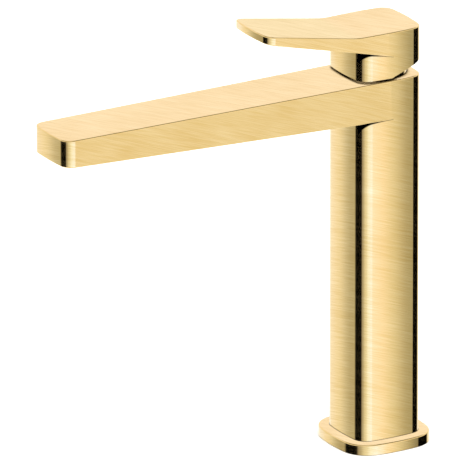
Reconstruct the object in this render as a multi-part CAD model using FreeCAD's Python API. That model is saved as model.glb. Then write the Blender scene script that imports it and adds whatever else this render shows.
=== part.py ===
import FreeCAD, Part
import math
import os
from FreeCAD import Vector

os.makedirs("parts", exist_ok=True)

# A tall single-lever basin mixer. Millimetres, +Z up, the origin on the deck face under the middle
# of the column. The spout and the lever point along -Y, and X runs across the column.

# Column and its foot flange
column_side_radius = 141.5   # each side bows gently outwards
column_corner_radius = 8.7
column_wall = 3.0
column_top = 239.7           # top face of the head and of the spout
flange_ledge = 7.4           # how far the flange stands out past the column
flange_side_radius = 115.0
flange_corner_radius = 17.4
flange_height = 6.7
flange_floor = 2.5
flange_edge_round = 0.8
flange_stud_clearance = 0.8  # outside the studs, in the flange's round opening

# Spout
spout_reach = 230.6          # column axis to the middle of the tip face
spout_root_height = 24.9     # thickness where it leaves the column
spout_tip_height = 17.3
spout_taper = 0.66           # degrees each side narrows by
spout_tip_corner = 7.0
spout_tip_face_radius = 170.0
spout_wall = 2.6
rim_round = 0.7

# Lever handle
handle_gap = 1.8             # between the head and the handle's skirt
handle_height = 29.5
handle_wall = 2.2
handle_roof = 5.5
lever_reach = 89.8
lever_taper = 1.4
lever_tip_corner = 6.2
lever_tip_face_radius = 100.0
kink_ahead = 1.3             # how far in front of the column the flat top starts to rise
lever_kink_radius = 45.0
lever_rise = 10.2            # degrees
lever_root_height = 9.7      # blade thickness at the kink
lever_under_rise = 14.0      # degrees
lever_tilt = 20.0            # degrees from shut to fully open
skirt_cut_start = 1.0        # in front of the axis; from here back the skirt's foot is cut at the tilt angle

# Cartridge of the common 35 mm size, and its seat in the head
cartridge_radius = 17.5
cartridge_clearance = 0.1
cartridge_wall = 1.5
shoulder_depth = 6.7         # head's top face down to the shoulder that the nut presses on
shoulder_height = 3.2
neck_wall = 1.95
neck_clearance = 0.2         # inside the nut
neck_height = 11.0
base_height = 4.5
base_rim_height = 2.5
base_rim_wall = 2.3
disc_height = 4.0
fixed_disc_slack = 0.4
moving_disc_radius = 11.0
moving_disc_height = 3.5
lapped_gap = 0.05
port_radius = 2.2
port_spacing = 11.0
port_back = 1.0              # how far the ports lie behind the axis
window_depth = 4.6
window_start = 1.25
window_width = 14.8
inlet_seal_width = 1.5
inlet_seal_height = 1.2
carrier_radius = 12.0
carrier_floor = 2.18         # under the pocket that takes the stem's ball
carrier_slack = 0.2
carrier_key_width = 15.8
carrier_key_length = 14.0
carrier_key_height = 4.2
carrier_key_slack = 0.3
rotor_radius = 12.0
rotor_flange_slack = 0.6
rotor_flange_height = 5.4
rotor_height = 22.0
rotor_slot_length = 12.6
rotor_ring_height = 2.0      # above the shoulder
running_gap = 0.05
pin_radius = 1.5
pin_length = 23.0
pin_clearance = 0.04
stem_width = 8.0
stem_arm = 15.0              # pivot pin to the ball that pushes the disc
stem_ball_radius = 3.0
stem_shank = 4.4
stem_hub_radius = 4.4
stem_top = 20.5
stem_square_start = 1.0
stem_chamfer = 0.8
stem_slack = 0.1
stem_side_slack = 0.3        # beside the stem in the rotor and the carrier
ball_slack = 0.5             # under the ball in its pocket
ring_section_radius = 0.9
ring_slack = 0.05            # around each O-ring in its groove
nut_ledge = 1.5              # how far the nut reaches past the cartridge
nut_slack = 0.4              # between the nut's corners and the trim ring
nut_set_down = 0.3           # below the head's top face
nut_hex_height = 3.0
limit_ring_height = 2.4
limit_ring_clearance = 0.4
limit_notches = 12
limit_notch_width = 1.6
limit_notch_depth = 0.7
limit_notch_floor = 1.2
trim_ledge = 0.5             # how far the trim ring reaches past the nut
trim_height = 9.2
trim_wall = 1.2
trim_edge_round = 4.2
trim_clearance = 0.6         # round the rotor
seat_floor = 4.0
inlet_radius = 4.5           # M10 x 1 hose ends
inlet_spacing = 13.2
inlet_depth = 9.0
seat_wall = 2.1
seat_clearance = 0.3         # between the seat and the column's inner walls
seat_joint = 0.05            # brazed joint between the seat and the head
outlet_width = 14.0
outlet_height = 9.0
outlet_start = 2.0           # how far inside the cartridge base's rim the outlet begins

# Handle fixing
boss_radius = 8.0
boss_start = 9.5
screw_height = 15.5
screw_radius = 2.5
screw_length = 8.0
screw_hex = 2.5
screw_hex_depth = 3.0
screw_chamfer = 0.4
plug_radius = 3.2
plug_length = 2.6
plug_ledge = 0.4
socket_slack = 0.3           # above the stem in its socket
rib_width = 9.4

# Aerator under the spout tip, of the M18.5 x 1 hidden kind
aerator_radius = 9.25
aerator_height = 7.0
aerator_setback = 17.6       # tip face to aerator axis
aerator_boss_wall = 2.8
aerator_recess = 0.5
aerator_stop = 1.5           # ledge that the seal presses on
aerator_roof = 1.6
aerator_shell_wall = 1.3
aerator_lip = 0.7
aerator_lip_height = 0.8
aerator_notch_width = 1.8    # four notches for the tool that unscrews it
aerator_seal_height = 1.2
aerator_seal_width = 2.25
aerator_seal_slack = 0.15
jet_height = 1.6
jet_pitch = 3.36
jet_radius = 0.51
grid_height = 2.2
grid_pitch = 2.1
grid_radius = 0.85
hole_margin = 0.7            # from the outermost holes to the plate's rim

# Deck fixing: two studs, a rubber and a steel horseshoe and two long nuts
deck_thickness = 30.0
stud_radius = 3.0
stud_spacing = 27.0
stud_below = 72.0
foot_height = 10.0
foot_engagement = 8.0
foot_clearance = 0.05
hose_slot_length = 26.0
hose_slot_width = 15.0
clamp_radius = 27.0
clamp_gasket_height = 3.0
clamp_plate_height = 3.0
clamp_hole_clearance = 0.4
clamp_nut_hex = 10.0
clamp_nut_height = 14.0
seal_inner = 24.6
seal_outer = 28.2
seal_height = 1.4
seal_slack = 0.1

# How far a cutting tool runs past the face that it opens, and a trimming shape past what it trims
spill = 1.0
overshoot = 5.0

# Worked-out widths
seat_bore = cartridge_radius + cartridge_clearance
seat_radius = seat_bore + seat_wall
inner_half = seat_radius + seat_clearance
column_half = inner_half + column_wall
nut_radius = cartridge_radius + nut_ledge
trim_radius = nut_radius + trim_ledge
nut_hex = math.sqrt(3) * (trim_radius - trim_wall - nut_slack)
neck_bore = rotor_radius + running_gap
neck_radius = neck_bore + neck_wall
base_radius = cartridge_radius - 2 * cartridge_clearance
fixed_disc_radius = base_radius - base_rim_wall - fixed_disc_slack
rotor_flange_radius = cartridge_radius - cartridge_wall - rotor_flange_slack
lever_kink = column_half + kink_ahead
flange_bore = stud_spacing / 2 + stud_radius + flange_stud_clearance

# Worked-out heights
head_bottom = column_top - spout_root_height
pivot_height = column_top + handle_gap
handle_top = pivot_height + handle_height
shoulder_top = column_top - shoulder_depth
stem_lean = lever_tilt / 2
ball_height = pivot_height - stem_arm * math.cos(math.radians(stem_lean))
disc_rest_y = stem_arm * math.sin(math.radians(stem_lean))
pocket_floor = ball_height - stem_ball_radius - ball_slack
moving_disc_top = pocket_floor - carrier_floor
disc_top = moving_disc_top - moving_disc_height - lapped_gap
base_top = disc_top - disc_height
chamber_floor = base_top - base_height
seat_bottom = chamber_floor - seat_floor - inlet_depth
rotor_bottom = shoulder_top - shoulder_height - rotor_flange_height
axis_x = Vector(1, 0, 0)
axis_y = Vector(0, 1, 0)
axis_z = Vector(0, 0, 1)
pivot = Vector(0, 0, pivot_height)


def save(node, shape):
    shape.exportStep("parts/" + node + ".step")
    print(node, len(shape.Solids), "solid(s), valid", shape.isValid())


def arc_edge(x, y, radius, start, end):
    points = []
    for angle in (start, (start + end) / 2, end):
        points.append(Vector(x + radius * math.cos(angle), y + radius * math.sin(angle), 0))
    return Part.Arc(*points).toShape()


def corner_of(half, side_radius, corner_radius):
    """Returns a corner arc's centre distance and the angle at which it meets the side arcs."""
    back = half - side_radius
    reach = side_radius - corner_radius
    centre = (back + math.sqrt(2 * reach ** 2 - back ** 2)) / 2
    return centre, math.asin(centre / reach)


def bowed_square(half, side_radius, corner_radius):
    """A square outline with bowed sides and round corners, all arcs meeting smoothly."""
    centre, turn = corner_of(half, side_radius, corner_radius)
    back = half - side_radius
    edges = []
    for quarter in range(4):
        q = quarter * math.pi / 2
        x = centre * (math.cos(q) - math.sin(q))
        y = centre * (math.sin(q) + math.cos(q))
        edges.append(arc_edge(back * math.cos(q), back * math.sin(q), side_radius, q - turn, q + turn))
        edges.append(arc_edge(x, y, corner_radius, q + turn, q + math.pi / 2 - turn))
    return Part.Wire(Part.__sortEdges__(edges))


def column_outline():
    return bowed_square(column_half, column_side_radius, column_corner_radius)


def bar_outline(inset, taper, reach, tip_corner, tip_face_radius):
    """The column's rear half, carried on forwards by a bar that leaves the side arcs smoothly."""
    half = column_half - inset
    side_radius = column_side_radius - inset
    corner_radius = column_corner_radius - inset
    centre, turn = corner_of(half, side_radius, corner_radius)
    back = half - side_radius
    lean = math.radians(taper)
    right = math.pi / 2
    edges = [
        arc_edge(back, 0, side_radius, -lean, turn),
        arc_edge(centre, centre, corner_radius, turn, right - turn),
        arc_edge(0, back, side_radius, right - turn, right + turn),
        arc_edge(-centre, centre, corner_radius, right + turn, math.pi - turn),
        arc_edge(-back, 0, side_radius, math.pi - turn, math.pi + lean),
    ]
    corner = tip_corner - inset
    face_radius = tip_face_radius - inset
    face_centre = face_radius - (reach - inset)
    start = Vector(back + side_radius * math.cos(lean), -side_radius * math.sin(lean), 0)
    along = Vector(-math.sin(lean), -math.cos(lean), 0)
    inward = Vector(-math.cos(lean), math.sin(lean), 0)
    offset = start + inward * corner - Vector(0, face_centre, 0)
    slope = offset.dot(along)
    run = -slope + math.sqrt(slope ** 2 - offset.dot(offset) + (face_radius - corner) ** 2)
    middle = start + inward * corner + along * run
    end = middle - inward * corner
    spread = math.atan2(middle.y - face_centre, middle.x)
    edges.append(Part.makeLine(start, end))
    edges.append(arc_edge(middle.x, middle.y, corner, spread, -lean))
    edges.append(arc_edge(0, face_centre, face_radius, -math.pi - spread, spread))
    edges.append(arc_edge(-middle.x, middle.y, corner, -math.pi + lean, -math.pi - spread))
    edges.append(Part.makeLine(Vector(-start.x, start.y, 0), Vector(-end.x, end.y, 0)))
    return Part.Wire(Part.__sortEdges__(edges))


def prism(wire, low, high):
    face = Part.Face(wire)
    face.translate(Vector(0, 0, low))
    return face.extrude(Vector(0, 0, high - low))


def rod(radius, low, high, x=0, y=0):
    return Part.makeCylinder(radius, high - low, Vector(x, y, low))


def tube(outer, inner, low, high, x=0, y=0):
    return rod(outer, low, high, x, y).cut(rod(inner, low, high, x, y))


def block(x0, x1, y0, y1, z0, z1):
    return Part.makeBox(x1 - x0, y1 - y0, z1 - z0, Vector(x0, y0, z0))


def o_ring(radius, height):
    return Part.makeTorus(radius, ring_section_radius, Vector(0, 0, height), axis_z)


def ring_groove(radius, height):
    """A square groove, open outwards, for an O-ring of that radius."""
    half = ring_section_radius + ring_slack
    return tube(radius + 2 * ring_section_radius, radius - half, height - half, height + half)


def side_prism(edges, half_width):
    """A profile in the YZ plane, carried across the object."""
    face = Part.Face(Part.Wire(Part.__sortEdges__(edges)))
    face.translate(Vector(-half_width, 0, 0))
    return face.extrude(Vector(2 * half_width, 0, 0))


def lines(points):
    corners = [Vector(0, y, z) for y, z in points]
    return [Part.makeLine(a, b) for a, b in zip(corners, corners[1:])]


def hexagon(flats, low, high, x=0, y=0):
    radius = flats / math.sqrt(3)
    points = []
    for corner in range(7):
        angle = math.radians(60 * corner)
        points.append(Vector(x + radius * math.cos(angle), y + radius * math.sin(angle), 0))
    return prism(Part.makePolygon(points), low, high)


def round_edges(shape, radius, chosen):
    return shape.makeFillet(radius, [edge for edge in shape.Edges if chosen(edge)])


def lean(shape):
    """Turns a shape about the pivot pin by the angle at which the stem stands when shut."""
    turned = shape.copy()
    turned.rotate(pivot, axis_x, stem_lean)
    return turned


# Column, flange and foot

def column_tube():
    outer = prism(column_outline(), flange_floor, head_bottom)
    inner = bowed_square(inner_half, column_side_radius - column_wall, column_corner_radius - column_wall)
    return outer.cut(prism(inner, flange_floor, head_bottom))


def base_flange():
    half = column_half + flange_ledge
    plate = prism(bowed_square(half, flange_side_radius, flange_corner_radius), 0, flange_height)
    plate = round_edges(plate, flange_edge_round, lambda edge: edge.CenterOfMass.z > flange_height - 0.01)
    grow = foot_clearance
    pocket = bowed_square(column_half + grow, column_side_radius + grow, column_corner_radius + grow)
    plate = plate.cut(prism(pocket, flange_floor, flange_height + spill))
    plate = plate.cut(rod(flange_bore, -spill, flange_floor + spill))
    return plate.cut(tube(seal_outer, seal_inner, -spill, seal_height))


def base_seal():
    return tube(seal_outer - seal_slack, seal_inner + seal_slack, 0, seal_height)


def hose_slot(low, high, open_side):
    half_length = hose_slot_length / 2
    half_width = hose_slot_width / 2
    end = clamp_radius + spill if open_side else half_length - half_width
    slot = block(half_width - half_length, end, -half_width, half_width, low, high)
    slot = slot.fuse(rod(half_width, low, high, half_width - half_length))
    return slot if open_side else slot.fuse(rod(half_width, low, high, half_length - half_width))


def stud_places():
    return [-stud_spacing / 2, stud_spacing / 2]


def column_foot():
    half = inner_half - foot_clearance
    cut = column_half - half
    foot = prism(
        bowed_square(half, column_side_radius - cut, column_corner_radius - cut),
        flange_floor,
        flange_floor + foot_height,
    )
    foot = foot.cut(hose_slot(flange_floor - spill, flange_floor + foot_height + spill, False))
    for y in stud_places():
        foot = foot.cut(rod(stud_radius, flange_floor - spill, flange_floor + foot_engagement, 0, y))
    return foot


def mounting_studs():
    top = flange_floor + foot_engagement
    return Part.makeCompound([rod(stud_radius, -stud_below, top, 0, y) for y in stud_places()])


def horseshoe(low, high):
    shoe = rod(clamp_radius, low, high).cut(hose_slot(low - spill, high + spill, True))
    for y in stud_places():
        shoe = shoe.cut(rod(stud_radius + clamp_hole_clearance, low - spill, high + spill, 0, y))
    return shoe


def clamp_nuts():
    top = -deck_thickness - clamp_gasket_height - clamp_plate_height
    nuts = []
    for y in stud_places():
        nut = hexagon(clamp_nut_hex, top - clamp_nut_height, top, 0, y)
        nuts.append(nut.cut(rod(stud_radius, top - clamp_nut_height - spill, top + spill, 0, y)))
    return Part.makeCompound(nuts)


# Head and spout

def spout_slope():
    return (spout_root_height - spout_tip_height) / (spout_reach - column_half)


def spout_under(y, offset=0):
    """Height of the spout's underside at a distance y in front of the axis."""
    return head_bottom + offset + max(0, y - column_half) * spout_slope()


def spout_profile(offset, top):
    front = spout_reach + overshoot
    back = column_half + overshoot
    low = head_bottom + offset
    points = [(back, low), (-column_half, low), (-front, spout_under(front, offset)), (-front, top)]
    points += [(back, top), (back, low)]
    return side_prism(lines(points), column_half + overshoot)


def aerator_y():
    return aerator_setback - spout_reach


def aerator_mouth():
    return spout_under(-aerator_y()) + aerator_recess


def is_spout_edge(edge):
    """The rim of the top face, and the underside's rim in front of the column."""
    middle = edge.CenterOfMass
    foot = middle.y < -column_half - spill and middle.z < spout_under(-middle.y) + 0.2
    return foot or middle.z > column_top - 0.01


def spout_front_wall():
    """Where the spout's hollow ends, in front of the seat."""
    return seat_radius + seat_joint + spout_wall


def outlet_passage():
    """The square way out of the seat, through the head's wall, into the spout."""
    half = outlet_width / 2
    low = head_bottom + spout_wall
    return block(-half, half, -spout_front_wall() - spill, outlet_start - base_radius, low, low + outlet_height)


def spout_hollow():
    outline = bar_outline(spout_wall, spout_taper, spout_reach, spout_tip_corner, spout_tip_face_radius)
    hollow = prism(outline, head_bottom, column_top - spout_wall)
    hollow = hollow.common(spout_profile(spout_wall, column_top))
    front = -spout_front_wall()
    hollow = hollow.common(block(-column_half, column_half, -spout_reach, front, head_bottom, column_top))
    boss = aerator_radius + aerator_boss_wall
    return hollow.cut(rod(boss, head_bottom, aerator_boss_top(), 0, aerator_y()))


def aerator_boss_top():
    return aerator_mouth() + aerator_height + aerator_roof


def spout_head():
    outline = bar_outline(0, spout_taper, spout_reach, spout_tip_corner, spout_tip_face_radius)
    bar = prism(outline, head_bottom - spill, column_top).common(spout_profile(0, column_top + overshoot))
    bar = round_edges(bar, rim_round, is_spout_edge)
    # Over the column the underside's rim stays sharp, so that the two meet without a groove
    bar = bar.fuse(prism(column_outline(), head_bottom, head_bottom + 2 * rim_round)).removeSplitter()
    head = bar.cut(spout_hollow())
    head = head.cut(rod(seat_radius + seat_joint, head_bottom - spill, shoulder_top))
    head = head.cut(rod(nut_radius + cartridge_clearance, shoulder_top - spill, column_top + spill))
    head = head.cut(outlet_passage())
    stop = aerator_mouth() + aerator_height
    head = head.cut(rod(aerator_radius, head_bottom - spill, stop, 0, aerator_y()))
    head = head.cut(rod(aerator_radius - aerator_stop, head_bottom, aerator_boss_top() + spill, 0, aerator_y()))
    return head.removeSplitter()


def cartridge_seat():
    seat = rod(seat_radius, seat_bottom, shoulder_top)
    seat = seat.cut(rod(seat_bore, chamber_floor, shoulder_top + spill))
    seat = seat.cut(outlet_passage())
    for side in (-1, 1):
        x = side * inlet_spacing / 2
        seat = seat.cut(rod(inlet_radius, seat_bottom - spill, seat_bottom + inlet_depth, x, port_back))
    return seat.cut(port_pair(port_radius, seat_bottom, chamber_floor + spill))


# Aerator

def aerator_shell():
    low = aerator_mouth()
    top = low + aerator_height - aerator_seal_height
    inner = aerator_radius - aerator_shell_wall
    shell = tube(aerator_radius - running_gap, inner, low, top)
    shell = shell.fuse(tube(inner, inner - aerator_lip, low, low + aerator_lip_height))
    half = aerator_notch_width / 2
    notches = []
    for angle in (0, 90, 180, 270):
        notch = block(inner, aerator_radius + spill, -half, half, low - spill, low + aerator_lip_height)
        notch.rotate(Vector(0, 0, 0), axis_z, angle)
        notches.append(notch)
    shell = shell.cut(notches)
    shell.translate(Vector(0, aerator_y(), 0))
    return shell


def aerator_seal():
    top = aerator_mouth() + aerator_height
    outer = aerator_radius - aerator_seal_slack
    inner = outer - aerator_seal_width
    return tube(outer, inner, top - aerator_seal_height, top, 0, aerator_y())


def holed_disc(radius, low, high, pitch, hole):
    """A round plate with holes on a triangular grid, centred on the aerator."""
    plate = rod(radius, low, high)
    holes = []
    count = int(radius / pitch) + 1
    for row in range(-count, count + 1):
        for column in range(-count, count + 1):
            x = (column + 0.5 * (row % 2)) * pitch
            y = row * pitch * math.sqrt(3) / 2
            if math.hypot(x, y) < radius - hole - hole_margin:
                holes.append(rod(hole, low - spill, high + spill, x, y))
    plate = plate.cut(holes)
    plate.translate(Vector(0, aerator_y(), 0))
    return plate


def aerator_grid():
    low = aerator_mouth() + aerator_lip_height
    radius = aerator_radius - aerator_shell_wall - running_gap
    return holed_disc(radius, low, low + grid_height, grid_pitch, grid_radius)


def aerator_jet_plate():
    top = aerator_mouth() + aerator_height - aerator_seal_height
    radius = aerator_radius - aerator_shell_wall - running_gap
    return holed_disc(radius, top - jet_height, top, jet_pitch, jet_radius)


# Cartridge: base and housing

def port_pair(radius, low, high):
    side = port_spacing / 2
    return rod(radius, low, high, -side, port_back).fuse(rod(radius, low, high, side, port_back))


def inlet_seals():
    seals = []
    top = chamber_floor + inlet_seal_height
    for side in (-1, 1):
        x = side * port_spacing / 2
        seals.append(tube(port_radius + inlet_seal_width, port_radius, chamber_floor, top, x, port_back))
    return Part.makeCompound(seals)


def cartridge_base():
    base = rod(base_radius, chamber_floor, base_top + base_rim_height)
    base = base.cut(rod(base_radius - base_rim_wall, base_top, base_top + base_rim_height + spill))
    base = base.cut(port_pair(port_radius, chamber_floor - spill, base_top + spill))
    radius = port_radius + inlet_seal_width + cartridge_clearance
    top = chamber_floor + inlet_seal_height + cartridge_clearance
    return base.cut(port_pair(radius, chamber_floor - spill, top))


def fixed_disc():
    disc = rod(fixed_disc_radius, base_top, disc_top)
    return disc.cut(port_pair(port_radius, base_top - spill, disc_top + spill))


def housing_ring_place():
    radius = cartridge_radius + cartridge_clearance - ring_slack - ring_section_radius
    return radius, shoulder_top - shoulder_height / 2


def cartridge_housing():
    low = base_top + base_rim_height
    shoulder_low = shoulder_top - shoulder_height
    neck_top = shoulder_top + neck_height
    shell = tube(cartridge_radius, cartridge_radius - cartridge_wall, low, shoulder_low)
    shell = shell.fuse(tube(cartridge_radius, neck_bore, shoulder_low, shoulder_top))
    shell = shell.fuse(tube(neck_radius, neck_bore, shoulder_top, neck_top))
    shell = shell.cut(ring_groove(*housing_ring_place()))
    shell = shell.cut(outlet_passage())
    return shell.removeSplitter()


def housing_o_ring():
    return o_ring(*housing_ring_place())


def cartridge_nut():
    top = column_top - nut_set_down
    nut = rod(nut_radius, shoulder_top, top).fuse(hexagon(nut_hex, top, top + nut_hex_height))
    return nut.cut(rod(neck_radius + neck_clearance, shoulder_top - spill, top + nut_hex_height + spill))


def limit_ring():
    low = shoulder_top + neck_height
    top = low + limit_ring_height
    ring = tube(neck_radius, rotor_radius + limit_ring_clearance, low, top)
    half = limit_notch_width / 2
    start = neck_radius - limit_notch_depth
    for tooth in range(limit_notches):
        notch = block(start, neck_radius + spill, -half, half, low + limit_notch_floor, top + spill)
        notch.rotate(Vector(0, 0, 0), axis_z, 360 / limit_notches * tooth)
        ring = ring.cut(notch)
    return ring


def trim_ring():
    top = column_top + trim_height
    dome = rod(trim_radius, column_top, top)
    dome = round_edges(dome, trim_edge_round, lambda edge: edge.BoundBox.ZMin > top - 0.01)
    roof = top - trim_wall
    cavity = rod(trim_radius - trim_wall, column_top - spill, roof)
    cavity = round_edges(cavity, trim_edge_round - trim_wall, lambda edge: edge.BoundBox.ZMin > roof - 0.01)
    return dome.cut(cavity).cut(rod(rotor_radius + trim_clearance, column_top, top + spill))


# Cartridge: what turns, slides and tilts

def rotor_ring_place():
    return rotor_radius - ring_section_radius, shoulder_top + rotor_ring_height


def rotor():
    low = rotor_bottom
    flange_top = low + rotor_flange_height - running_gap
    body = rod(rotor_flange_radius, low, flange_top).fuse(rod(rotor_radius, low, low + rotor_height))
    slot = stem_width / 2 + stem_side_slack
    length = rotor_slot_length / 2
    body = body.cut(block(-slot, slot, -length, length, low - spill, low + rotor_height + spill))
    key = carrier_key_width / 2 + running_gap
    key_top = low + carrier_key_height + carrier_key_slack
    body = body.cut(block(-key, key, -rotor_flange_radius, rotor_flange_radius, low - spill, key_top))
    body = body.cut(Part.makeCylinder(pin_radius, 2 * rotor_radius, pivot - axis_x * rotor_radius, axis_x))
    return body.cut(ring_groove(*rotor_ring_place()))


def rotor_o_ring():
    return o_ring(*rotor_ring_place())


def pivot_pin():
    return Part.makeCylinder(pin_radius, pin_length, pivot - axis_x * (pin_length / 2), axis_x)


def disc_window(low, high):
    y = disc_rest_y + window_start
    return block(-window_width / 2, window_width / 2, y, y + window_depth, low, high)


def moving_disc():
    low = disc_top + lapped_gap
    disc = rod(moving_disc_radius, low, moving_disc_top, 0, disc_rest_y)
    return disc.cut(disc_window(low - spill, moving_disc_top + spill))


def disc_carrier():
    top = rotor_bottom - carrier_slack
    y = disc_rest_y
    body = rod(carrier_radius, moving_disc_top, top, 0, y)
    half = carrier_key_width / 2
    length = carrier_key_length / 2
    body = body.fuse(block(-half, half, y - length, y + length, moving_disc_top, top + carrier_key_height))
    pocket = stem_ball_radius + running_gap
    width = stem_width / 2 + stem_side_slack
    body = body.cut(block(-width, width, y - pocket, y + pocket, pocket_floor, column_top))
    return body.removeSplitter()


def lever_stem():
    half = stem_width / 2
    shank = stem_shank / 2
    bottom = pivot_height - stem_arm
    stem = block(-half, half, -shank, shank, bottom, pivot_height)
    ball = Part.makeCylinder(stem_ball_radius, stem_width, Vector(-half, 0, bottom), axis_x)
    hub = Part.makeCylinder(stem_hub_radius, stem_width, Vector(-half, 0, pivot_height), axis_x)
    top = pivot_height + stem_top
    upper = block(-half, half, -half, half, pivot_height + stem_square_start, top)
    upper = upper.makeChamfer(stem_chamfer, [edge for edge in upper.Edges if edge.BoundBox.ZMin > top - 0.01])
    stem = stem.fuse([ball, hub, upper]).removeSplitter()
    bore = Part.makeCylinder(pin_radius + pin_clearance, 2 * stem_width, pivot - axis_x * stem_width, axis_x)
    return lean(stem.cut(bore))


# Lever handle

def handle_profile():
    """The side profile: a flat top that turns up into the blade, and the blade's underside."""
    rise = math.radians(lever_rise)
    under = math.tan(math.radians(lever_under_rise))
    front = lever_reach + overshoot
    back = column_half + overshoot
    run = lever_kink_radius * math.tan(rise / 2)
    first = Vector(0, run - lever_kink, handle_top)
    last = Vector(0, -lever_kink - run * math.cos(rise), handle_top + run * math.sin(rise))
    centre = first + Vector(0, 0, lever_kink_radius)
    middle = centre - Vector(0, math.sin(rise / 2), math.cos(rise / 2)) * lever_kink_radius
    tip_top = handle_top + (front - lever_kink) * math.tan(rise)
    root = handle_top - lever_root_height
    tip_low = root + (front - lever_kink) * under
    back_low = root - (back + lever_kink) * under
    points = [(last.y, last.z), (-front, tip_top), (-front, tip_low), (back, back_low), (back, handle_top)]
    edges = lines(points)
    edges.append(Part.makeLine(Vector(0, back, handle_top), first))
    edges.append(Part.Arc(first, middle, last).toShape())
    return side_prism(edges, column_half + overshoot)


def handle_outer():
    plan = bar_outline(0, lever_taper, lever_reach, lever_tip_corner, lever_tip_face_radius)
    blade = prism(plan, pivot_height, handle_top + lever_reach).common(handle_profile())
    blade = round_edges(blade, rim_round, is_handle_rim)
    skirt_top = handle_top - lever_root_height
    return blade.fuse(prism(column_outline(), pivot_height, skirt_top)).removeSplitter()


def is_handle_rim(edge):
    """Every edge that runs round the top or the underside, but not an upright or a fold line."""
    box = edge.BoundBox
    return box.YLength > 0.01


def handle_core(extra=0):
    """The boss and its rear rib, which hold the stem and its screw, in the stem's own frame."""
    top = pivot_height + handle_height + overshoot
    boss = rod(boss_radius, pivot_height + boss_start, top)
    low = pivot_height + screw_height - rib_width / 2
    rib = block(-rib_width / 2, rib_width / 2, 0, column_half + overshoot, low, top)
    return lean(boss.fuse(rib))


def screw_bore(radius, start, end):
    base = Vector(0, start, pivot_height + screw_height)
    return lean(Part.makeCylinder(radius, end - start, base, axis_y))


def lever_handle():
    outer = handle_outer()
    inner = bowed_square(
        column_half - handle_wall,
        column_side_radius - handle_wall,
        column_corner_radius - handle_wall,
    )
    cavity = prism(inner, pivot_height - spill, handle_top - handle_roof).cut(handle_core())
    handle = outer.cut(cavity)
    far = column_half + overshoot
    drop = Vector(0, -skirt_cut_start, pivot_height)
    cut = block(-far, far, 0, 2 * far, -far, 0)
    cut.rotate(Vector(0, 0, 0), axis_x, lever_tilt)
    cut.translate(drop)
    handle = handle.cut(cut)
    half = stem_width / 2 + stem_slack
    socket = block(-half, half, -half, half, pivot_height, pivot_height + stem_top + socket_slack)
    handle = handle.cut(lean(socket))
    handle = handle.cut(screw_bore(screw_radius, 0, stem_width / 2 + screw_length + spill))
    handle = handle.cut(screw_bore(plug_radius - plug_ledge, stem_width / 2 + screw_length, far + overshoot))
    handle = handle.cut(screw_bore(plug_radius + running_gap, plug_start(), far + overshoot))
    return handle


def plug_start():
    return column_half - plug_length


def handle_screw():
    start = stem_width / 2
    screw = Part.makeCylinder(screw_radius, screw_length, Vector(0, 0, 0), axis_z)
    screw = screw.makeChamfer(screw_chamfer, [edge for edge in screw.Edges if len(edge.Vertexes) == 1])
    screw = screw.cut(hexagon(screw_hex, screw_length - screw_hex_depth, screw_length + spill))
    screw.rotate(Vector(0, 0, 0), axis_x, -90)
    screw.translate(Vector(0, start, pivot_height + screw_height))
    return lean(screw)


def screw_plug():
    return screw_bore(plug_radius, plug_start(), column_half + overshoot).common(handle_outer())


clamp_top = -deck_thickness
plate_top = clamp_top - clamp_gasket_height
save("base_flange", base_flange())
save("base_seal", base_seal())
save("column_tube", column_tube())
save("column_foot", column_foot())
save("mounting_studs", mounting_studs())
save("clamp_gasket", horseshoe(plate_top, clamp_top))
save("clamp_plate", horseshoe(plate_top - clamp_plate_height, plate_top))
save("clamp_nuts", clamp_nuts())
save("spout_head", spout_head())
save("cartridge_seat", cartridge_seat())
save("aerator_shell", aerator_shell())
save("aerator_seal", aerator_seal())
save("aerator_grid", aerator_grid())
save("aerator_jet_plate", aerator_jet_plate())
save("inlet_seals", inlet_seals())
save("cartridge_base", cartridge_base())
save("fixed_disc", fixed_disc())
save("cartridge_housing", cartridge_housing())
save("housing_o_ring", housing_o_ring())
save("cartridge_nut", cartridge_nut())
save("limit_ring", limit_ring())
save("trim_ring", trim_ring())
save("rotor", rotor())
save("rotor_o_ring", rotor_o_ring())
save("pivot_pin", pivot_pin())
save("moving_disc", moving_disc())
save("disc_carrier", disc_carrier())
save("lever_stem", lever_stem())
save("lever_handle", lever_handle())
save("handle_screw", handle_screw())
save("screw_plug", screw_plug())
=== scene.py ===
import bpy
import math
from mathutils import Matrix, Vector

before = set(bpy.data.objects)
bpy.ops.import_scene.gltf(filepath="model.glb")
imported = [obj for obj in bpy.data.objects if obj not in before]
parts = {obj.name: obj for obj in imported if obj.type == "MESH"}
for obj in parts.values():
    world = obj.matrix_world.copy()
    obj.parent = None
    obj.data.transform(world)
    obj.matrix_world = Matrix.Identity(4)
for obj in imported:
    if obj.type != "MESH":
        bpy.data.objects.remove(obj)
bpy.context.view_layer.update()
print("frame loaded,", len(parts), "parts")

black = (0, 0, 0, 1)
white = (1, 1, 1, 1)


# Small helpers

def linear(hexColour):
    channels = []
    for place in (1, 3, 5):
        level = int(hexColour[place:place + 2], 16) / 255
        channels.append(level / 12.92 if level <= 0.04045 else ((level + 0.055) / 1.055) ** 2.4)
    return (*channels, 1)


def addNode(tree, kind, sockets=None, **settings):
    # A socket given a node takes that node's first output
    node = tree.nodes.new(kind)
    for name, value in settings.items():
        setattr(node, name, value)
    for name, value in (sockets or {}).items():
        if isinstance(value, bpy.types.Node):
            value = value.outputs[0]
        if isinstance(value, bpy.types.NodeSocket):
            tree.links.new(value, node.inputs[name])
        else:
            node.inputs[name].default_value = value
    return node


def newMaterial(name):
    material = bpy.data.materials.new(name)
    material.use_nodes = True
    tree = material.node_tree
    tree.nodes.clear()
    return material, tree


def finishMaterial(tree, sockets):
    shader = addNode(tree, "ShaderNodeBsdfPrincipled", sockets)
    addNode(tree, "ShaderNodeOutputMaterial", {"Surface": shader})


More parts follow.
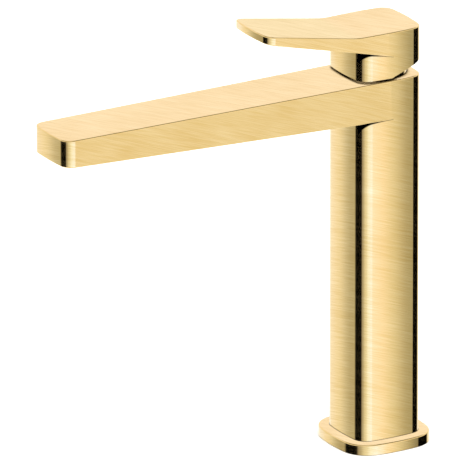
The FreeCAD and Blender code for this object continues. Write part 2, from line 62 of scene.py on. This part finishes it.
def paint(names, material):
    for name in names:
        mesh = parts[name].data
        mesh.materials.clear()
        mesh.materials.append(material)


# Gold-plated brass, brushed to a satin

brushedGold = {
    "deep": "#E1BF7A",
    "pale": "#F2D69C",
    "roughness": (0.09, 0.15),     # in the strokes' hollows and on their crests
    "stretch": 0.9,                # how far the brushing draws reflections out across itself
    "strokeWidth": 0.5,            # mm, coarser than the real 0.1 so that it shows at this size
    "strokeLength": 20,            # mm
    "strokeSlant": (20, 12),       # degrees off level on the sides and on the front
    "cloudSize": 30,               # mm
    "cloudShare": 0.3,             # how much of the change of shade is broad and soft
    "creaseShade": 1.2,                 # mm, reach of the painted shade, a dark line where pieces meet
    "creaseOpen": (0.45, 0.75),    # how open a spot is where that line is black, and where it ends
    "gapShade": 25,                     # mm, reach of the painted shade inside a gap
    "gapOpen": (0.2, 0.44),
}
headGold = dict(brushedGold, creaseShade=3.6)                    # a broader line of painted shade under the handle
trimGold = dict(brushedGold, stretch=0.6, strokeWidth=0.4)  # spun on a lathe, so finer and rounder

# Painted shade: a black wedge painted on a rounded corner right under an overhanging straight edge, in metres
paintedWedge = {
    "tip": 0.0232,                 # from the middle plane, where it thins out to nothing
    "root": 0.0165,                # from the middle plane, where it stops
    "growth": 1.2,                 # how much it deepens for each metre from tip to root
    "soft": 0.0003,                # blur of its lower edge
    "overlap": 0.00005,            # how far above the edge it still counts
}
# Edges under which the wedge of painted shade is put, with their height and slope
columnEdge = {"height": 0.2148, "slope": 0}
bladeSlope = math.tan(math.radians(14))
bladeRoot = 0.2613                 # lower edge of the lever's blade, this far in front of the axis
bladeFront = 0.0243
bladeEdge = {"height": bladeRoot - bladeFront * bladeSlope, "slope": bladeSlope}


def clearOfPaintedWedge(tree, place, edge):
    # 0 in the painted wedge of shade, 1 elsewhere
    spot = addNode(tree, "ShaderNodeSeparateXYZ", {0: place.outputs["Object"]})
    aside = addNode(tree, "ShaderNodeMath", {0: spot.outputs["X"]}, operation="ABSOLUTE")
    growth = paintedWedge["growth"]
    depth = addNode(tree, "ShaderNodeMath", {0: aside, 1: -growth, 2: growth * paintedWedge["tip"]},
                    operation="MULTIPLY_ADD")
    line = addNode(tree, "ShaderNodeMath", {0: spot.outputs["Y"], 1: -edge["slope"], 2: edge["height"]},
                   operation="MULTIPLY_ADD")
    below = addNode(tree, "ShaderNodeMath", {0: line, 1: spot.outputs["Z"]}, operation="SUBTRACT")
    spare = addNode(tree, "ShaderNodeMath", {0: below, 1: depth}, operation="SUBTRACT")
    clear = addNode(tree, "ShaderNodeMapRange", {
        "Value": spare, "From Min": -paintedWedge["soft"], "From Max": paintedWedge["soft"],
    })
    above = addNode(tree, "ShaderNodeMath", {0: below, 1: paintedWedge["overlap"]}, operation="LESS_THAN")
    inside = addNode(tree, "ShaderNodeMath", {0: aside, 1: paintedWedge["root"]}, operation="LESS_THAN")
    behind = addNode(tree, "ShaderNodeMath", {0: spot.outputs["Y"], 1: 0}, operation="GREATER_THAN")
    for other in (above, inside, behind):
        clear = addNode(tree, "ShaderNodeMath", {0: clear, 1: other}, operation="MAXIMUM")
    return clear


def brushedMetal(name, look, edge=None):
    # Fine slanting strokes that catch the light, with reflections drawn out across them
    material, tree = newMaterial(name)
    place = addNode(tree, "ShaderNodeTexCoord")
    sides, front = look["strokeSlant"]
    turned = addNode(tree, "ShaderNodeMapping", {
        "Vector": place.outputs["Object"],
        "Rotation": (math.radians(sides), math.radians(front), 0),
    })
    along = 1000 / look["strokeLength"]
    strokes = addNode(tree, "ShaderNodeMapping", {
        "Vector": turned,
        "Scale": (along, along, 1000 / look["strokeWidth"]),
    })
    fine = addNode(tree, "ShaderNodeTexNoise", {
        "Vector": strokes, "Scale": 1, "Detail": 1.5, "Roughness": 0.5,
    })
    cloud = addNode(tree, "ShaderNodeTexNoise", {
        "Vector": place.outputs["Object"], "Scale": 1000 / look["cloudSize"], "Detail": 2,
    })
    both = addNode(tree, "ShaderNodeMix", {0: look["cloudShare"], 2: fine, 3: cloud})
    shade = addNode(tree, "ShaderNodeMapRange", {"Value": both, "From Min": 0.3, "From Max": 0.7})
    colour = addNode(tree, "ShaderNodeMix", {0: shade, 6: linear(look["deep"]), 7: linear(look["pale"])},
                     data_type="RGBA")

    # Painted shade: where little light gets in, the colour and the sheen at a low angle are painted dark
    creaseShade = addNode(tree, "ShaderNodeAmbientOcclusion", {"Distance": look["creaseShade"] / 1000})
    gapShade = addNode(tree, "ShaderNodeAmbientOcclusion", {"Distance": look["gapShade"] / 1000})
    creaseLit, gapLit = [
        addNode(tree, "ShaderNodeMapRange", {"Value": spot.outputs["AO"], "From Min": dark, "From Max": full})
        for spot, (dark, full) in ((creaseShade, look["creaseOpen"]), (gapShade, look["gapOpen"]))
    ]
    lit = addNode(tree, "ShaderNodeMath", {0: creaseLit, 1: gapLit}, operation="MULTIPLY")
    # Painted shade: a black wedge under an overhanging edge, in colour and sheen
    if edge:
        clear = clearOfPaintedWedge(tree, place, edge)
        lit = addNode(tree, "ShaderNodeMath", {0: lit, 1: clear}, operation="MULTIPLY")
    colour = addNode(tree, "ShaderNodeMix", {0: lit, 6: black, 7: colour.outputs[2]}, data_type="RGBA")
    sheen = addNode(tree, "ShaderNodeMix", {0: lit, 6: black, 7: white}, data_type="RGBA")

    low, high = look["roughness"]
    rough = addNode(tree, "ShaderNodeMapRange", {
        "Value": fine, "From Min": 0.3, "From Max": 0.7, "To Min": low, "To Max": high,
    })

    # The tangent runs up the upright faces, and along X on the level ones
    facing = addNode(tree, "ShaderNodeSeparateXYZ", {0: place.outputs["Normal"]})
    level = addNode(tree, "ShaderNodeMath", {0: facing.outputs["Z"]}, operation="ABSOLUTE")
    flat = addNode(tree, "ShaderNodeMath", {0: level, 1: 0.7}, operation="GREATER_THAN")
    across = addNode(tree, "ShaderNodeMix", {0: flat, 6: (0, 0, 1, 1), 7: (1, 0, 0, 1)},
                     data_type="RGBA")
    tangent = addNode(tree, "ShaderNodeVectorTransform", {0: across.outputs[2]},
                      vector_type="VECTOR", convert_from="OBJECT", convert_to="WORLD")
    finishMaterial(tree, {
        "Metallic": 1,
        "Anisotropic": look["stretch"],
        "Base Color": colour.outputs[2],
        "Specular Tint": sheen.outputs[2],
        "Roughness": rough,
        "Tangent": tangent,
    })
    return material


paint(["base_flange"], brushedMetal("satin brushed gold", brushedGold))
paint(["spout_head"], brushedMetal("satin brushed gold head", headGold))
# The column and the lever carry the wedge of painted shade
paint(["column_tube"], brushedMetal("satin brushed gold column", brushedGold, columnEdge))
paint(["lever_handle", "screw_plug"], brushedMetal("satin brushed gold lever", brushedGold, bladeEdge))
paint(["trim_ring"], brushedMetal("spun gold", trimGold))
print("gold pieces done")


# Turned brass, zinc-plated steel, rubber, plastics and ceramic inside and below: grain and ridge in mm

turnedBrass = {   # yellow and bright, with the lathe's fine rings
    "dark": "#B08A3C", "light": "#D9B765", "roughness": 0.3, "grain": 6, "ridge": 0.45, "metal": 1,
}
zincSteel = {     # bluish grey, faintly cloudy from the plating bath
    "dark": "#A9AEB2", "light": "#D3D5D2", "roughness": 0.34, "grain": 2.2, "ridge": 0, "metal": 1,
}
studThread = {    # the same plating over a 1 mm thread, which shows as even rings
    "dark": "#9DA2A6", "light": "#CDD0CE", "roughness": 0.32, "grain": 2.2, "ridge": 1, "metal": 1,
}
blackRubber = {   # moulded nitrile, dull and slightly dusty
    "dark": "#0E0E0F", "light": "#222222", "roughness": 0.62, "grain": 0.5, "ridge": 0, "metal": 0,
}
creamPlastic = {  # moulded acetal, waxy and even
    "dark": "#D9D4C6", "light": "#E9E5DA", "roughness": 0.42, "grain": 3, "ridge": 0, "metal": 0,
}
greyPlastic = {   # moulded acetal with a spark-eroded, matt skin
    "dark": "#7F8488", "light": "#989DA0", "roughness": 0.45, "grain": 1.2, "ridge": 0, "metal": 0,
}
redPlastic = {    # moulded nylon, a clear signal red
    "dark": "#9C1B14", "light": "#C02A20", "roughness": 0.4, "grain": 1.2, "ridge": 0, "metal": 0,
}
whiteCeramic = {  # lapped alumina, almost a mirror
    "dark": "#E2DFD8", "light": "#F2F0EA", "roughness": 0.12, "grain": 0.8, "ridge": 0, "metal": 0,
}


def plainMaterial(name, look):
    # A mottled grain, with turned ridges or a thread where the look has a ridge, its pitch in mm
    material, tree = newMaterial(name)
    place = addNode(tree, "ShaderNodeTexCoord")
    grain = addNode(tree, "ShaderNodeTexNoise", {
        "Vector": place.outputs["Object"], "Scale": 1000 / look["grain"], "Detail": 4, "Roughness": 0.55,
    })
    height = grain
    depth = 0.00001
    if look["ridge"]:
        # A wave's own period is 2 pi / 20 of its scaled coordinate
        scale = 1000 * math.pi / 10 / look["ridge"]
        ridges = addNode(tree, "ShaderNodeTexWave", {"Vector": place.outputs["Object"], "Scale": scale},
                         bands_direction="Z")
        height = ridges.outputs["Fac"]
        depth = 0.0003 * look["ridge"]
    bump = addNode(tree, "ShaderNodeBump", {"Height": height, "Strength": 0.4, "Distance": depth})
    mottle = addNode(tree, "ShaderNodeMapRange", {"Value": grain, "From Min": 0.3, "From Max": 0.7})
    colour = addNode(tree, "ShaderNodeMix", {0: mottle, 6: linear(look["dark"]), 7: linear(look["light"])},
                     data_type="RGBA")
    rough = addNode(tree, "ShaderNodeMapRange", {
        "Value": grain, "From Min": 0.3, "From Max": 0.7,
        "To Min": look["roughness"] - 0.05, "To Max": look["roughness"] + 0.05,
    })
    finishMaterial(tree, {
        "Metallic": look["metal"], "Base Color": colour.outputs[2], "Roughness": rough, "Normal": bump,
    })
    return material


paint(["column_foot", "cartridge_seat", "cartridge_nut", "clamp_nuts", "lever_stem"],
      plainMaterial("turned brass", turnedBrass))
paint(["clamp_plate", "pivot_pin", "handle_screw"], plainMaterial("zinc-plated steel", zincSteel))
paint(["mounting_studs"], plainMaterial("zinc-plated thread", studThread))
paint(["base_seal", "clamp_gasket", "aerator_seal", "inlet_seals", "housing_o_ring", "rotor_o_ring"],
      plainMaterial("moulded black nitrile", blackRubber))
paint(["cartridge_base", "cartridge_housing", "rotor", "disc_carrier"],
      plainMaterial("moulded cream acetal", creamPlastic))
paint(["aerator_shell", "aerator_grid", "aerator_jet_plate"],
      plainMaterial("moulded grey acetal", greyPlastic))
paint(["limit_ring"], plainMaterial("moulded red nylon", redPlastic))
paint(["fixed_disc", "moving_disc"], plainMaterial("lapped white alumina", whiteCeramic))
print("inner pieces done")


# Pale floor

floorLook = {"colour": "#F6F5F0", "roughness": 0.9, "size": 8, "drop": 0.0002}

bpy.ops.mesh.primitive_plane_add(size=floorLook["size"], location=(0, 0, 0))
floor = bpy.context.object
floor.name = "floor"
for vertex in floor.data.vertices:
    vertex.co.z = -floorLook["drop"]
floorPaint, floorTree = newMaterial("matt pale floor")
finishMaterial(floorTree, {"Base Color": linear(floorLook["colour"]), "Roughness": floorLook["roughness"]})
floor.data.materials.append(floorPaint)
# The metal mirrors the light tent alone, below the horizon too
for item in [floor, *parts.values()]:
    item.visible_glossy = False
print("floor done")


# Light tent: a bright wrap with two black flags, which make the dark strips at the corners

tent = {
    "strength": 2.5,
    "low": (1.12, 1.1, 0.98),
    "above": (1.2, 1.18, 1.26),
    "overhead": (0.3, 0.28, 0.2),
    "backdrop": (1, 1, 1),
    "brighter": 1.06,
    "horizon": (-0.02, 0.08),    # heights, as sines, between which the upper tent takes over
    "flagTop": (-0.12, -0.02),
    "flagFoot": (-0.6, -0.75),
    "flagLevel": 0.15,           # a place darker than this counts as flag
    "upper": [
        (0.14, "low"), (0.33, "above"), (0.6, "above"),
        (0.68, "overhead"), (0.92, "overhead"), (0.97, "above"),
    ],
    "round": [                   # degrees from +X towards +Y, then the light from there
        (-180, 1.12, 1.2, 1.4),
        (-161, 1.12, 1.21, 1.5),
        (-157, 1.08, 1.08, 1.1),
        (-153, 1.02, 1.03, 1.0),
        (-150, 0.95, 0.96, 0.94),
        (-147, 0.78, 0.8, 0.79),
        (-143, 0.61, 0.63, 0.59),
        (-139, 0.52, 0.52, 0.45),
        (-132, 0.45, 0.45, 0.4),
        (-125, 0, 0, 0),
        (-72, 0, 0, 0),
        (-64, 0.44, 0.44, 0.44),
        (-55, 0.55, 0.56, 0.56),
        (-42, 0.86, 0.9, 0.92),
        (-29, 0.97, 1.05, 1.15),
        (-16, 1.14, 1.32, 1.7),
        (10, 1.21, 1.42, 2.14),
        (19, 1.21, 1.38, 1.98),
        (22, 1.18, 1.2, 1.36),
        (25, 1.15, 1.13, 1.2),
        (28, 1.02, 1.02, 1.02),
        (32, 0.86, 0.88, 0.84),
        (36, 0.67, 0.68, 0.64),
        (40, 0.5, 0.52, 0.46),
        (43, 0.42, 0.44, 0.44),
        (46, 0, 0, 0),
        (100, 0, 0, 0),
        (112, 1.12, 1.1, 1.0),
        (165, 1.12, 1.1, 1.0),
        (180, 1.12, 1.2, 1.4),
    ],
}


def dim(level):
    # A ramp holds no more than 1, so the light is divided here and multiplied by the strength later
    return (*[channel / tent["strength"] for channel in level], 1)


world = bpy.data.worlds.new("light tent")
bpy.context.scene.world = world
world.use_nodes = True
sky = world.node_tree
sky.nodes.clear()
everyWay = addNode(sky, "ShaderNodeTexCoord")
toward = addNode(sky, "ShaderNodeSeparateXYZ", {0: everyWay.outputs["Generated"]})
upward = toward.outputs["Z"]
angle = addNode(sky, "ShaderNodeMath", {0: toward.outputs["Y"], 1: toward.outputs["X"]}, operation="ARCTAN2")
turn = addNode(sky, "ShaderNodeMath", {0: angle, 1: 1 / math.tau, 2: 0.5}, operation="MULTIPLY_ADD")
around = addNode(sky, "ShaderNodeValToRGB", {0: turn})
height = addNode(sky, "ShaderNodeValToRGB", {0: upward})
aroundStops = []
for degrees, *level in tent["round"]:
    aroundStops.append((degrees / 360 + 0.5, dim([channel * tent["brighter"] for channel in level])))
heightStops = [(place, dim(tent[which])) for place, which in tent["upper"]]
for ramp, stops in ((around, aroundStops), (height, heightStops)):
    elements = ramp.color_ramp.elements
    while len(elements) < len(stops):
        elements.new(0.5)
    for element, (place, colour) in zip(elements, stops):
        element.position = place
    for element, (place, colour) in zip(elements, stops):
        element.color = colour

horizon, flagTop, flagFoot = [
    addNode(sky, "ShaderNodeMapRange", {"Value": upward, "From Min": start, "From Max": end})
    for start, end in (tent["horizon"], tent["flagTop"], tent["flagFoot"])
]
unflagged = addNode(sky, "ShaderNodeMapRange", {"Value": around, "From Max": tent["flagLevel"]})
raised = addNode(sky, "ShaderNodeMix", {0: unflagged, 2: flagTop, 3: horizon})
raised = addNode(sky, "ShaderNodeMath", {0: raised, 1: flagFoot}, operation="MAXIMUM")
light = addNode(sky, "ShaderNodeMix", {0: raised, 6: around, 7: height}, data_type="RGBA")
# Behind the faucet the tent itself stays hidden and plain white shows
seen = addNode(sky, "ShaderNodeLightPath")
light = addNode(sky, "ShaderNodeMix", {
    0: seen.outputs["Is Camera Ray"], 6: light.outputs[2], 7: dim(tent["backdrop"]),
}, data_type="RGBA")
glow = addNode(sky, "ShaderNodeBackground", {"Color": light.outputs[2], "Strength": tent["strength"]})
addNode(sky, "ShaderNodeOutputWorld", {"Surface": glow})
print("light tent done")

# A broad soft lamp for the floor, which the metal doesn't mirror
softbox = {"power": 150, "size": 3, "place": (0.6, -0.6, 3)}

bpy.ops.object.light_add(type="AREA", location=softbox["place"])
lamp = bpy.context.object
lamp.name = "softbox"
lamp.data.energy = softbox["power"]
lamp.data.size = softbox["size"]
lamp.visible_glossy = False


# Camera

shot = {
    "azimuth": 59.78,        # degrees round from straight in front
    "elevation": 19.82,
    "distance": 12.89,
    "lens": 1600,
    "left": 0.0856,          # metres that the aim lies left of the column's foot, then above it
    "above": 0.1243,
}

azimuth = math.radians(shot["azimuth"])
elevation = math.radians(shot["elevation"])
back = Vector((
    math.sin(azimuth) * math.cos(elevation),
    -math.cos(azimuth) * math.cos(elevation),
    math.sin(elevation),
))
right = Vector((math.cos(azimuth), math.sin(azimuth), 0))
aim = back.cross(right) * shot["above"] - right * shot["left"]
cameraData = bpy.data.cameras.new("camera")
cameraData.lens = shot["lens"]
cameraData.sensor_width = 36
cameraData.clip_end = 100
camera = bpy.data.objects.new("camera", cameraData)
bpy.context.scene.collection.objects.link(camera)
camera.rotation_mode = "QUATERNION"
camera.rotation_quaternion = (-back).to_track_quat("-Z", "Y")
camera.location = aim + back * shot["distance"]
bpy.context.scene.camera = camera
bpy.context.scene.view_settings.view_transform = "Standard"
print("camera done")
